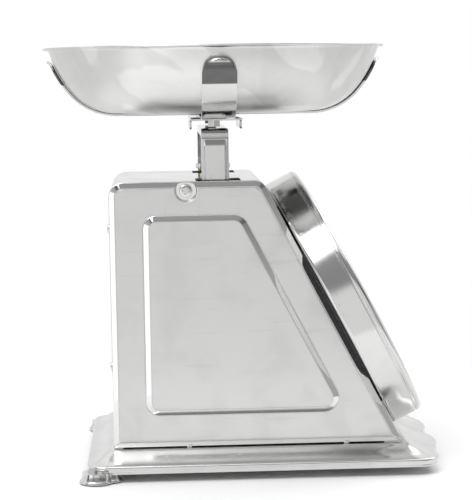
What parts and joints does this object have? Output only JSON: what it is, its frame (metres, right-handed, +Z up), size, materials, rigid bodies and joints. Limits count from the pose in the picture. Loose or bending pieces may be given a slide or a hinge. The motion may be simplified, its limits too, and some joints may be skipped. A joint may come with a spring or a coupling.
{
  "type": "kitchen scale",
  "caption": "Mechanical dial kitchen scale in polished steel with a lift-off round bowl on a four-armed spider.",
  "frame": {"origin": "on the floor, under the middle of the overall box", "axes": "+Z up, the dial faces -Y, +X is to the right of someone reading the dial"},
  "size_m": [0.211, 0.2405, 0.2566],
  "materials": {
    "polished_steel": "polished stainless steel with a faint satin on the flat panels",
    "plated_fastener": "bright nickel plate",
    "zinc_steel": "zinc-plated pressed steel",
    "spring_steel": "drawn spring wire",
    "brass": "turned brass",
    "rubber": "matt moulded rubber",
    "dial_enamel": "satin white dial with black scale",
    "clear_lens": "clear polished sheet",
    "pointer_paint": "satin red lacquer"
  },
  "bodies": {
    "housing": {"base_plate": "polished_steel", "base_screws": "plated_fastener", "housing_wrap": "polished_steel", "side_panel_right": "polished_steel", "side_panel_left": "polished_steel", "side_panel_screws": "plated_fastener", "back_screws": "plated_fastener", "inner_frame": "zinc_steel", "arm_shaft_upper": "zinc_steel", "arm_shaft_lower": "zinc_steel", "shaft_clips": "plated_fastener", "spring_left": "spring_steel", "spring_right": "spring_steel", "zero_bushing": "brass", "stop_stud": "zinc_steel", "stop_cushion": "rubber", "spindle_bushing": "brass", "pinion_bracket": "zinc_steel", "dial_drum": "polished_steel", "dial_bezel": "polished_steel", "dial_lens": "clear_lens", "lens_gasket": "rubber", "dial_plate": "dial_enamel", "plate_ring": "zinc_steel", "dial_spacers": "zinc_steel", "drum_pad": "rubber", "dial_screws": "plated_fastener", "foot_pad_front_left": "rubber", "foot_pad_back_left": "rubber", "foot_pad_front_right": "rubber", "foot_pad_back_right": "rubber"},
    "platform": {"yoke": "polished_steel", "yoke_pins": "plated_fastener", "crossbar": "zinc_steel", "crossbar_screws": "plated_fastener", "platform_plate": "polished_steel", "spacer_nuts": "plated_fastener", "platform_screws": "plated_fastener", "hub_rivet": "plated_fastener", "spider_strap_upper": "polished_steel", "spider_strap_lower": "polished_steel", "rack": "brass", "rack_bracket": "zinc_steel"},
    "upper_arm": {"upper_arm": "zinc_steel"},
    "lower_arm": {"lower_arm": "zinc_steel"},
    "pointer": {"spindle": "brass", "pointer": "pointer_paint", "pointer_cap": "pointer_paint"},
    "zero_knob": {"zero_knob": "plated_fastener", "zero_collar": "zinc_steel"},
    "zero_beam": {"zero_beam": "zinc_steel"},
    "bowl": {"bowl": "polished_steel"}
  },
  "joints": [
    {"name": "platform_slide", "type": "slide", "parent": "housing", "child": "platform", "axis": [0, 0, -1], "range_m": [0, 0.0136], "stiffness_N_per_m": 3600, "springref_m": -0.005, "deforming": ["spring_left", "spring_right"]},
    {"name": "upper_arm_hinge", "type": "hinge", "parent": "housing", "child": "upper_arm", "pos_m": [0, 0.06815, 0.1332], "axis": [1, 0, 0], "range_deg": [-0.2, 15.33]},
    {"name": "lower_arm_hinge", "type": "hinge", "parent": "housing", "child": "lower_arm", "pos_m": [0, 0.06815, 0.0452], "axis": [1, 0, 0], "range_deg": [-0.2, 15.33]},
    {"name": "pointer_turn", "type": "hinge", "parent": "housing", "child": "pointer", "pos_m": [0, -0.05546, 0.09371], "axis": [0, 0.8878, -0.4602], "range_deg": [-0.5, 346.5]},
    {"name": "zero_knob_turn", "type": "hinge", "parent": "housing", "child": "zero_knob", "pos_m": [0, 0.01615, 0.1828], "axis": [0, 0, 1], "range_deg": [-724, 724]},
    {"name": "zero_beam_slide", "type": "slide", "parent": "housing", "child": "zero_beam", "axis": [0, 0, 1], "range_m": [-0.0016, 0.0016]},
    {"name": "bowl_lift", "type": "slide", "parent": "platform", "child": "bowl", "axis": [0, 0, 1], "range_m": [0, 0.12]}
  ],
  "couplings": [
    {"joint": "upper_arm_hinge", "follows": "platform_slide", "rad_per_m": 19.286},
    {"joint": "lower_arm_hinge", "follows": "platform_slide", "rad_per_m": 19.286},
    {"joint": "pointer_turn", "follows": "platform_slide", "rad_per_m": 443.91},
    {"joint": "zero_knob_turn", "follows": "zero_beam_slide", "rad_per_m": 7854}
  ]
}
